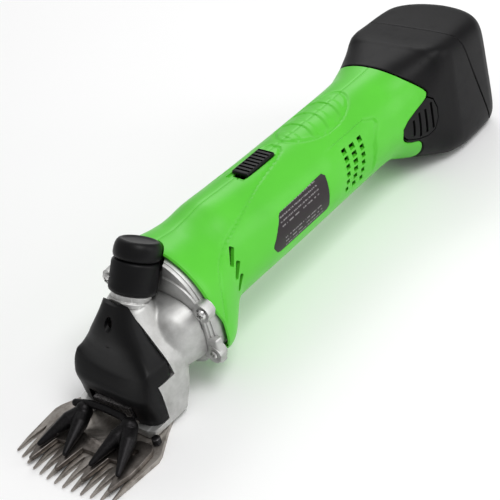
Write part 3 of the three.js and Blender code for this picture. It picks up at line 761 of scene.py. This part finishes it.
def release_buttons():
    """Grooved pads that stand a little proud of the battery's sides."""
    proud, groove_depth, groove_half = 0.3, 2.6, 0.95
    for name, side in SIDES:
        button = as_object("release_pad_" + name, button_body(side, 1, 26))
        for x, low, high in PAD_GROOVES:
            deep = abs(skin(x, 0 if side > 0 else math.pi).y) - groove_depth
            near, far = sorted((side * deep, side * 62))
            combine(button, block((x - groove_half, near, low), (x + groove_half, far, high), 0.4, 2))
        combine(button, skin_solid(190, 236, -proud, 160, 24), "INTERSECT")
        done(button, "satin_black", "button_" + name, ["release_button_" + name], 30)


# ------------------------------------------------------------------------------------------------
# Head
# ------------------------------------------------------------------------------------------------
# z, centre x, half length, half width, roundness, and how far the middle of the front hangs down
BELL = [
    [-47.7, -39.2, 15.4, 30.0, 12, 0],
    [-44, -38, 16, 30.2, 10, 0],
    [-38, -35.5, 17, 30.6, 8, 0],
    [-33, -33.6, 18, 30.8, 7, 0],
    [-28, -31.5, 17.8, 30.8, 6, 0],
    [-20, -28.5, 17.6, 30, 5, 0],
    [-12, -26.5, 17, 27.6, 4.5, 0],
    [-4, -25, 16, 22.6, 4, 0],
    [3, -23.6, 14, 18.2, 3.4, 0],
    [9, -21.6, 11.6, 14.6, 2.8, 0],
    [13, -20, 10.5, 12.4, 2.2, 0],
]
# The same for the hood, whose front hangs down in the middle
HOOD = [
    [-47.6, -40, 11, 29.6, 3.6, 0],
    [-44, -40, 11.4, 30, 3.6, 0],
    [-38, -40, 12, 30.2, 3.8, 0],
    [-31, -40, 12, 30.2, 4.4, 0],
    [-26, -39.6, 12, 30.1, 6, 1],
    [-20, -38.4, 11.2, 29.7, 8, 3.5],
    [-13.4, -36.6, 10, 28.4, 9, 5.5],
    [-11.8, -36, 9.8, 27.6, 9, 6],
    [-10.6, -35.6, 9.6, 26.4, 7, 5.8],
    [-4, -33.6, 9.4, 21.4, 4.2, 3.6],
    [3, -32, 9.2, 17.2, 3.2, 2],
    [9, -30, 8.2, 13.8, 2.8, 1],
    [13, -28.4, 6.8, 11.9, 2.6, 0.4],
    [18.5, -26, 5, 9.8, 2.4, 0],
]


def level_point(table, z, angle, inset):
    """A point of the bell or the hood at a height and an angle."""
    centre, half_x, half_y, power, hang = blend_at(table, z)
    c, s = math.cos(angle), math.sin(angle)
    reach = (abs(c / (half_x - inset)) ** power + abs(s / (half_y - inset)) ** power) ** (-1 / power)
    x, y = reach * c, reach * s
    drop = hang * (1 - min(1, abs(y) / half_y) ** 2) if x < 0 else 0
    return Vector((centre + x, y, z - drop))


def level_body(table, columns, rows, inset=0.0, low=None, high=None):
    """The bell or the hood as one solid, over its whole height or part of it."""
    low = table[0][0] if low is None else low
    high = table[-1][0] if high is None else high

    def point(u, v):
        return level_point(table, low + (high - low) * v, math.tau * u, inset)
    return surface(columns, rows, point, around=True)


# x, half width, top, bottom and roundness about the gear case's middle
GEAR_CASE = [
    [-24, 10, 8, 8, 2.2], [-22.5, 20, 13.5, 14, 2.4], [-19.5, 27, 17.5, 18, 2.7], [-15, 30.5, 19.8, 20.5, 3],
    [-9, 32, 20.8, 21.5, 3.1], [-2.5, 33, 21.6, 22, 3.2],
]
GEAR_CASE_Z = -12


def knob_bar(low, high, radius, sides):
    """A bar on the knob's axis, between two heights above its foot."""
    return bar(KNOB_FOOT + KNOB_AXIS * low, KNOB_FOOT + KNOB_AXIS * high, radius, sides=sides)


def gear_case_point(u, v):
    angle = math.tau * u
    x = GEAR_CASE[0][0] + (GEAR_CASE[-1][0] - GEAR_CASE[0][0]) * v
    half, up, down, power = blend_at(GEAR_CASE, x)
    c, s = math.cos(angle), math.sin(angle)
    reach = (abs(c / half) ** power + abs(s / (up if s > 0 else down)) ** power) ** (-1 / power)
    return Vector((x, reach * c, GEAR_CASE_Z + reach * s))


# Turns that stand an outline up: drawn as x and z, or drawn as y and z
UPRIGHT = Matrix(((1, 0, 0, 0), (0, 0, -1, 0), (0, 1, 0, 0), (0, 0, 0, 1)))
ACROSS = Matrix(((0, 0, 1, 0), (1, 0, 0, 0), (0, 1, 0, 0), (0, 0, 0, 1)))


def head_casting():
    """Bell, gear case and neck melted into one casting, then hollowed and opened at the front."""
    case = surface(96, 24, gear_case_point, around=True)
    neck = turned([(0, -22), (13.4, -22), (12.4, -9), (11.8, -6), (11.6, -2.9), (0, -2.9)], 64)
    neck.transform(KNOB_FRAME)
    casting = as_object("head_shell", together(level_body(BELL, 96, 60), case, neck))
    blended(casting, 0.7, 4)
    ring = turned([
        (0, -6.6), (11.9, -6.6), (12.2, -6.2), (12.2, -4.1), (11.9, -3.7), (10.9, -3.6), (10.9, -0.5),
        (0, -0.5),
    ])
    ring.transform(KNOB_FRAME)
    combine(casting, ring, "UNION")
    hollow = level_body(BELL, 64, 30, 3.6, -43, 0)
    case_hollow = bar((-15, 0, -15.5), (5, 0, -15.5), 19.5, sides=64)
    front = block((-90, -60, -21), (-27.6, 60, 40))
    low_front = block((-90, -60, -43.2), (-40, 60, -20))
    low_mouth = block((-90, -25.2, -43.3), (-29, 25.2, -26))
    mouth = block((-90, -17, -60), (-50, 17, -42))
    bore = knob_bar(-42, 6, 6.3, 40)
    room = knob_bar(-0.4, 60, 14.8, 72)
    under = block((-90, -60, -80), (60, 60, -47.7))
    rear = block((-2.9, -60, -80), (60, 60, 40))
    eye = bar((-46, 0, 5), (-32, 0, 10.6), 3.4, sides=32)
    for tool in (eye, hollow, case_hollow, front, low_front, low_mouth, mouth, bore, room, under, rear):
        combine(casting, tool)
    done(casting, "cast", "body", ["head_casting"], 35)


def head_hood():
    """Black cover over the front of the head."""
    hood = as_object("hood_shell", level_body(HOOD, 144, 120))
    combine(hood, level_body(HOOD, 80, 60, 2.4, -60, 15))
    back = block((-27.9, -60, -60), (0, 60, 40))
    low_back = slab([(0, -20.6), (-40.3, -20.6), (-40.8, -70), (0, -70)], -60, 60)
    low_back.transform(UPRIGHT)
    mouth = block((-80, -18, -60), (-38, 18, -31.2), 2.5, 3)
    under = block((-80, -60, -60), (0, 60, -42.8))
    neck = knob_bar(-30, 6, 12.4, 64)
    eye = bar((-46, 0, 6.2), (-30, 0, 12.2), 2.7, sides=32)
    for tool in (back, low_back, mouth, under, neck, eye):
        combine(hood, tool)
    done(hood, "black", "body", ["head_hood"], 24)


def rounded_outline(half_y, half_z, centre_z, power, count):
    """A squared oval, drawn as y and z."""
    outline = []
    for i in range(count):
        angle = math.tau * i / count
        c, s = math.cos(angle), math.sin(angle)
        reach = (abs(c / half_y) ** power + abs(s / half_z) ** power) ** (-1 / power)
        outline.append((reach * c, centre_z + reach * s))
    return outline


def gear_flange():
    """The plate behind the gear case, its seat and collar inside the shells, and its lugs."""
    plate = slab(rounded_outline(35, 30, -9.5, 3, 96), -2.6, 2.4, 0.6)
    plate.transform(ACROSS)
    flange = as_object("flange_plate", plate)
    rim = [skin(0, math.tau * i / 120, 3.4) for i in range(120)]
    seat = slab([(place.y, place.z) for place in rim], -1.2, 2.3, 0.4)
    seat.transform(ACROSS)
    combine(flange, seat, "UNION")
    collar = as_object("collar", skin_solid(1, 10.5, 2.95, 120, 12))
    combine(collar, skin_solid(-1, 15, 5.2, 120, 12))
    ring = bmesh.new()
    ring.from_mesh(collar.data)
    bpy.data.objects.remove(collar)
    combine(flange, ring, "UNION")
    for _, side in SIDES:
        ends = sorted((side * 25, side * 40.4))
        combine(flange, block((-2.75, ends[0], -30.7), (2.45, ends[1], -14.5), 1.0, 3), "UNION")
        for _, z in LUGS:
            lug = bar((-2.9, side * 35.2, z), (2.6, side * 35.2, z), 5.9, sides=48)
            combine(flange, soften(lug, 0.5), "UNION")
    combine(flange, together(*[hole for _, side in SIDES for hole in lug_holes(side, 1.9, 32)]))
    combine(flange, bar((-9, 0, -21), (9, 0, -21), 8.3, sides=48))
    combine(flange, knob_bar(0, 60, 14.8, 72))
    done(flange, "cast", "body", ["gear_case_flange"], 35)


def phillips_screw(radius, height, shank, length):
    """A pan-head screw with a cross recess, head up, underside of the head at z = 0."""
    screw = turned([
        (0, -length), (shank * 0.7, -length), (shank, -length + 1), (shank, 0), (radius, 0),
        (radius, height * 0.35), (radius * 0.82, height * 0.8), (radius * 0.5, height), (0, height),
    ], 40)
    cross = []
    reach, half = radius * 0.62, radius * 0.14
    for turn in (20, 110):
        arm = block((-reach, -half, height * 0.35), (reach, half, height * 2))
        arm.transform(Matrix.Rotation(math.radians(turn), 4, "Z"))
        cross.append(arm)
    return screw, cross


def add_screw(name, place, sizes, stands_for):
    screw, cross = phillips_screw(*sizes)
    screw.transform(place)
    made = as_object(name, screw)
    for arm in cross:
        arm.transform(place)
        combine(made, arm)
    done(made, "bright", "body", stands_for, 30)


def screws():
    """The flange's lug screws and the screws in the far shell's wells."""
    for name, side in SIDES:
        for level, z in LUGS:
            place = Matrix.Translation((-2.95, side * LUG_Y, z)) @ Matrix.Rotation(-math.pi / 2, 4, "Y")
            size = (3.4, 2.4, 1.6, 8) if level == "upper" else (2.5, 1.1, 1.6, 8)
            add_screw(f"lug_screw_{name}_{level}", place, size, [f"flange_screw_{name}_{level}"])
    for i, (x, z) in enumerate(HOUSING_SCREWS, 1):
        place = Matrix.Translation((x, 21.4, z)) @ Matrix.Rotation(-math.pi / 2, 4, "X")
        add_screw(f"shell_screw_{i}", place, (2.9, 2.2, 1.5, 30), [f"housing_screw_{i}"])


def tension_knob():
    """A ribbed barrel and a domed cap with a shallow ring in its top."""
    r = 13.4
    steps, rib_low, rib_high, rib_share = 144, 3, 16, 0.985
    knob = turned([
        (0, 2), (9, 2), (9, 0.4), (9.4, 0), (r - 2.2, 0), (r - 1.2, 0.25), (r - 0.5, 0.9), (r - 0.15, 1.8),
        (r, rib_low), (r, rib_high), (r - 0.2, 17.1), (r - 0.7, 17.8), (r - 1.6, 18.2), (0, 18.2),
    ], steps)
    for vert in knob.verts:
        turn = round(math.atan2(vert.co.y, vert.co.x) / math.tau * steps)
        if rib_low - 0.1 < vert.co.z < rib_high + 0.1 and turn % 2:
            vert.co.xy *= rib_share
    knob.transform(KNOB_FRAME)
    piece("knob_barrel", knob, "black", "knob", ["tension_knob"], 40)
    cap = turned([
        (0, 18.5), (r - 2.2, 18.5), (r - 1.2, 18.8), (r - 0.5, 19.6), (r - 0.15, 21), (r - 0.2, 23.4),
        (r - 0.6, 25.8), (r - 1.3, 27.6), (r - 2.3, 28.8), (r - 3.2, 29.2), (r - 3.9, 29.1), (r - 4.6, 28.7),
        (r - 7, 28.5), (0, 28.4),
    ], 128)
    cap.transform(KNOB_FRAME)
    piece("knob_top", cap, "black", "knob", ["knob_cap"], 40)


# ------------------------------------------------------------------------------------------------
# Comb, cutter and yokes
# ------------------------------------------------------------------------------------------------
COMB_TOP = REST_PLANE + 3
CUTTER_LOW, CUTTER_TOP = COMB_TOP + 0.3, COMB_TOP + 3.3
TEETH, SPAN, TIP_X, TIP_ARC, TOOTH = 13, 76.0, -102.5, 115.0, 21
FULCRUM_X = -30.0
SWING = Matrix.Translation((FULCRUM_X, 0, 0)) @ Matrix.Rotation(math.radians(5.5), 4, "Z")


def tip_x(y):
    """The arc that the comb's tips lie on."""
    return TIP_X + TIP_ARC - math.sqrt(TIP_ARC ** 2 - y ** 2)


def tooth(x, y, profile):
    """A tooth's outline from one flank over the tip to the other."""
    flank = [(x + back, half) for back, half in profile]
    return [(back, y - half) for back, half in flank] + [(back, y + half) for back, half in reversed(flank)]


def comb():
    """Thirteen teeth on an arc, thinner towards their tips, and slots for the comb screws."""
    gullet, thin_from = 2.6, 12
    outline = []
    for i in range(TEETH):
        y = -SPAN / 2 + i * SPAN / (TEETH - 1)
        tip, root = tip_x(y), tip_x(y) + TOOTH
        if i:
            outline.append((root, y - gullet))
        outline += tooth(tip, y, [(9, 1.25), (0.8, 0.6), (0, 0.3)])
        if i < TEETH - 1:
            outline.append((root, y + gullet))
    side = [
        (-66, 41), (-63, 41.2), (-59, 40), (-44, 31), (-34, 26), (-34, 16.5), (-47, 16.5), (-47, 11.5),
        (-34, 11.5),
    ]
    outline += side + [(x, -y) for x, y in reversed(side)]
    body = slab(outline, REST_PLANE, COMB_TOP)
    for vert in body.verts:
        reach = clamp((tip_x(vert.co.y) + thin_from - vert.co.x) / thin_from)
        if vert.co.z > COMB_TOP - 1:
            vert.co.z -= 1.5 * reach ** 1.5
        else:
            vert.co.z += 0.5 * reach ** 2
    soften(body, 0.35, 2, 30)
    piece("comb_plate", body, "comb", "body", ["comb"], 25)


def cutter():
    """Four broad teeth on a plate that swings with the lever, in place at its rest angle."""
    tip, root, gullet = -96.6, -79, 4.6
    rows = [-28.5, -9.5, 9.5, 28.5]
    outline = []
    for i, y in enumerate(rows):
        if i:
            outline.append((root, y - gullet))
        outline += tooth(tip, y, [(6.6, 2.2), (0.6, 0.9), (0, 0.3)])
        if i < len(rows) - 1:
            outline.append((root, y + gullet))
    back = [
        (-84, 33), (-76, 34), (-66, 34), (-63, 32.6), (-61.5, 29.5), (-61.5, 23), (-63.5, 19.5), (-68, 15.5),
        (-70, 8), (-70.6, 0),
    ]
    outline += back + [(x, -y) for x, y in reversed(back[:-1])]
    plate = slab([(x - FULCRUM_X, y) for x, y in outline], CUTTER_LOW, CUTTER_TOP)
    soften(plate, 0.45, 3, 30)
    plate.transform(SWING)
    made = as_object("cutter_plate", plate)
    for _, side in SIDES:
        hole = bar((-40, side * 25.5, CUTTER_LOW - 2.3), (-40, side * 25.5, CUTTER_TOP + 2.7), 2.1)
        hole.transform(SWING)
        combine(made, hole)
    done(made, "cutter", "cutter_arm", ["cutter"], 25)


def rod(points, radii):
    """Round bars end to end with a ball on each joint."""
    parts = []
    for start, end, a, b in zip(points, points[1:], radii, radii[1:]):
        parts.append(bar(start, end, a, b, 28))
    for centre, radius in zip(points, radii):
        ball = bmesh.new()
        bmesh.ops.create_uvsphere(ball, u_segments=24, v_segments=16, radius=radius)
        bmesh.ops.translate(ball, vec=centre, verts=ball.verts)
        parts.append(ball)
    return parts


def yokes():
    """Two forged claws, each with two fingers that bend down on to the cutter, and the strap across them."""
    for name, side in SIDES:
        root = Vector((-30.5, side * 16.5, -38.6))
        parts = rod([root + Vector((0, 0, 1.6)), root - Vector((0, 0, 0.8))], [4.6, 4.6])
        for y in (28.5, 9.5):
            knee = Vector((-38.5, side * (16.5 + (y - 16.5) * 0.42), -39.4))
            tip = Vector((-57.2, side * y, CUTTER_TOP + 1.9))
            parts += rod([root, knee, tip], [4.7, 4.6, 1.5])
        claw = together(*parts)
        claw.transform(SWING)
        made = blended(as_object("claw_" + name, claw), 0.45, 6)
        done(made, "blackened", "cutter_arm", ["yoke_" + name], 40)
    line = [
        (-61.4, 19.8, -35.2), (-58.6, 11, -34.6), (-57, 0, -35), (-56.8, -13, -35.2), (-60.2, -22.2, -36.4),
    ]
    bars = rod([Vector(place) for place in line], [2.2] * len(line))
    strap = blended(as_object("claw_strap", together(*bars)), 0.4, 6)
    done(strap, "blackened", "cutter_arm", (), 40)


def comb_clamp():
    """Ribbed clamp screw that stands on the comb behind the cutter."""
    valley, crest, pitch = 1.9, 2.5, 1.1
    ridges = [(0, -0.4)]
    for i in range(4):
        z = i * pitch
        ridges += [(valley, z - 0.4), (crest, z), (crest, z + 0.3), (valley, z + 0.7)]
    ridges += [(1.4, 4.2), (0, 4.2)]
    screw = turned(ridges, 32)
    screw.transform(Matrix.Translation((-54.4, -32.8, COMB_TOP + 0.5)))
    piece("clamp_screw", screw, "blackened", "body")


# ------------------------------------------------------------------------------------------------
# Switch and nameplate
# ------------------------------------------------------------------------------------------------
def switch():
    """The slider with its grooves, and the stem that reaches down to the switch."""
    pitch, groove = 3.0, 1.4
    slider = as_object("switch_cap", block((81, -6.1, 29.4), (106.4, 6.1, 32.0), 0.8, 3))
    starts = [83.4 + pitch * i for i in range(8)]
    combine(slider, together(*[block((x, -5.3, 31.0), (x + groove, 5.3, 36)) for x in starts]))
    combine(slider, block((84.9, -3.6, 22.9), (103.1, 3.6, 30.4)), "UNION")
    done(slider, "black", "switch", ["switch_slider"], 30)


def nameplate():
    """A thin curved plate that lies in its recess."""
    outer, inner = 29.95, 29.4
    blank = slab(LABEL, 22, 40)
    blank.transform(UPRIGHT)
    bmesh.ops.recalc_face_normals(blank, faces=blank.faces)
    plate = as_object("rating_plate", turned([(0, 60), (outer, 60), (outer, 128), (0, 128)], 256))
    plate.data.transform(Matrix.Rotation(math.pi / 2, 4, "Y"))
    combine(plate, bar((50, 0, 0), (140, 0, 0), inner, sides=256))
    combine(plate, blank, "INTERSECT")
    done(plate, "label", "body", ["nameplate"], 30)


def label_film():
    """Dark film with rows of plain pale dashes."""
    finish = Finish("label_film", Specular_IOR_Level=0.25)
    x, _, z = finish.coordinates()
    up = z - AXIS_Z
    row_height, soft = 2.6 * MM, 0.5 * MM
    row = ((up + 20 * MM) / row_height).math("FRACT")
    line = row.rise(0.50, 0.60) * (1 - row.rise(0.80, 0.90))
    dashes = finish.noise(1.0, 2.0, 0.5, finish.stretched((0.9, 1, 0.0))).rise(0.45, 0.53)
    start = (x - (FLANGE_X + 76 * MM)).rise(0, soft)
    end = 1 - (x - (FLANGE_X + 112 * MM)).rise(0, soft)
    gap = 1 - (up + 1 * MM).rise(0, 0.4 * MM) * (1 - (up - 4.2 * MM).rise(0, 0.4 * MM))
    mark = line * dashes * start * end * gap
    finish.feed("Base Color", finish.mix(mark * 0.6, (0.022, 0.016, 0.019), (0.40, 0.38, 0.39)))
    finish.feed("Roughness", finish.noise(6, 3.0) * 0.15 + 0.32)
    return finish.bump(finish.noise(0.6, 2.0), 0.01)


FINISHES["label"] = label_film()

# ------------------------------------------------------------------------------------------------
# Materials of the CAD nodes that stay as they are
# ------------------------------------------------------------------------------------------------
NODES_IN = {
    "bright": [
        "fulcrum_post", "crank_shaft", "crank_roller", "crank_bearing_front", "crank_bearing_rear",
        "motor_can", "motor_shaft", "tension_pin", "tension_spring", "tension_screw",
    ],
    "blackened": ["comb_screw_left", "comb_screw_right", "drive_gear", "fork_lever"],
    "cast": ["bearing_plate"],
    "black": ["motor_end_cap", "cooling_fan", "switch_body", "terminal_block"],
    "ferrite": ["motor_magnet_left", "motor_magnet_right", "motor_brush_left", "motor_brush_right"],
    "copper": ["armature", "commutator"],
    "brass": ["motor_pinion", "terminal_blade_left", "terminal_blade_right"],
    "sleeve": [f"battery_cell_{i}" for i in range(1, 6)],
}


def dress_nodes():
    for finish, nodes in NODES_IN.items():
        for node in nodes:
            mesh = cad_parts[node].data
            mesh.materials.clear()
            mesh.materials.append(FINISHES[finish].material)


# ------------------------------------------------------------------------------------------------
# Floor, light and camera
# ------------------------------------------------------------------------------------------------
def stage():
    """A plain pale sheet of paper under the tool."""
    sheet = bmesh.new()
    bmesh.ops.create_grid(sheet, x_segments=2, y_segments=2, size=6)
    mesh = bpy.data.meshes.new("floor")
    sheet.to_mesh(mesh)
    sheet.free()
    floor = bpy.data.objects.new("floor", mesh)
    bpy.context.scene.collection.objects.link(floor)
    paint = Finish("floor_paper", Roughness=0.9, Specular_IOR_Level=0.1)
    paint.feed("Base Color", paint.mix(paint.noise(300, 2.0), (0.93, 0.93, 0.93), (0.95, 0.95, 0.95)))
    mesh.materials.append(paint.material)


LIT = Vector((0, 0, 0.04))


def lamp(name, place, size, power):
    """A soft rectangular lamp that points at the tool."""
    data = bpy.data.lights.new(name, "AREA")
    data.shape = "RECTANGLE"
    data.size, data.size_y = size
    data.energy = power
    made = bpy.data.objects.new(name, data)
    made.location = Vector(place)
    made.rotation_mode = "QUATERNION"
    made.rotation_quaternion = (LIT - made.location).to_track_quat("-Z", "Y")
    bpy.context.scene.collection.objects.link(made)


def lights():
    world = bpy.data.worlds.new("studio")
    world.use_nodes = True
    sky = world.node_tree.nodes["Background"].inputs
    sky["Color"].default_value = (1, 1, 1, 1)
    sky["Strength"].default_value = 0.5
    bpy.context.scene.world = world
    lamp("key", (0.1, -0.75, 1.4), (0.7, 0.7), 12)
    lamp("rim", (0.9, 0.8, 1.1), (0.8, 0.5), 6)
    lamp("side", (0.7, -1.2, 0.5), (0.5, 0.7), 4)


# Degrees, then the lens and the distance and aim in millimetres
AZIMUTH, ELEVATION, ROLL = math.radians(-41.74), math.radians(35.3), math.radians(14.78)
LENS, DISTANCE = 85.44, 706.6
AIM = Vector((74.4, 0.5, -19.6))


def camera():
    """A camera that looks down on the comb's side from the front."""
    level = math.cos(ELEVATION)
    back = Vector((math.sin(AZIMUTH) * level, -math.cos(AZIMUTH) * level, math.sin(ELEVATION)))
    data = bpy.data.cameras.new("camera")
    data.lens = LENS
    data.clip_start, data.clip_end = 0.01, 50
    made = bpy.data.objects.new("camera", data)
    made.rotation_mode = "QUATERNION"
    upright = (-back).to_track_quat("-Z", "Y")
    made.rotation_quaternion = upright @ Matrix.Rotation(-ROLL, 3, "Z").to_quaternion()
    made.location = TOOL @ (AIM + back * DISTANCE)
    bpy.context.scene.collection.objects.link(made)
    bpy.context.scene.camera = made
    bpy.context.scene.view_settings.view_transform = "Standard"


camera()
lights()
stage()
green_shells()
battery_case()
battery_cap()
release_buttons()
head_casting()
head_hood()
gear_flange()
screws()
tension_knob()
comb()
cutter()
yokes()
comb_clamp()
switch()
nameplate()
dress_nodes()
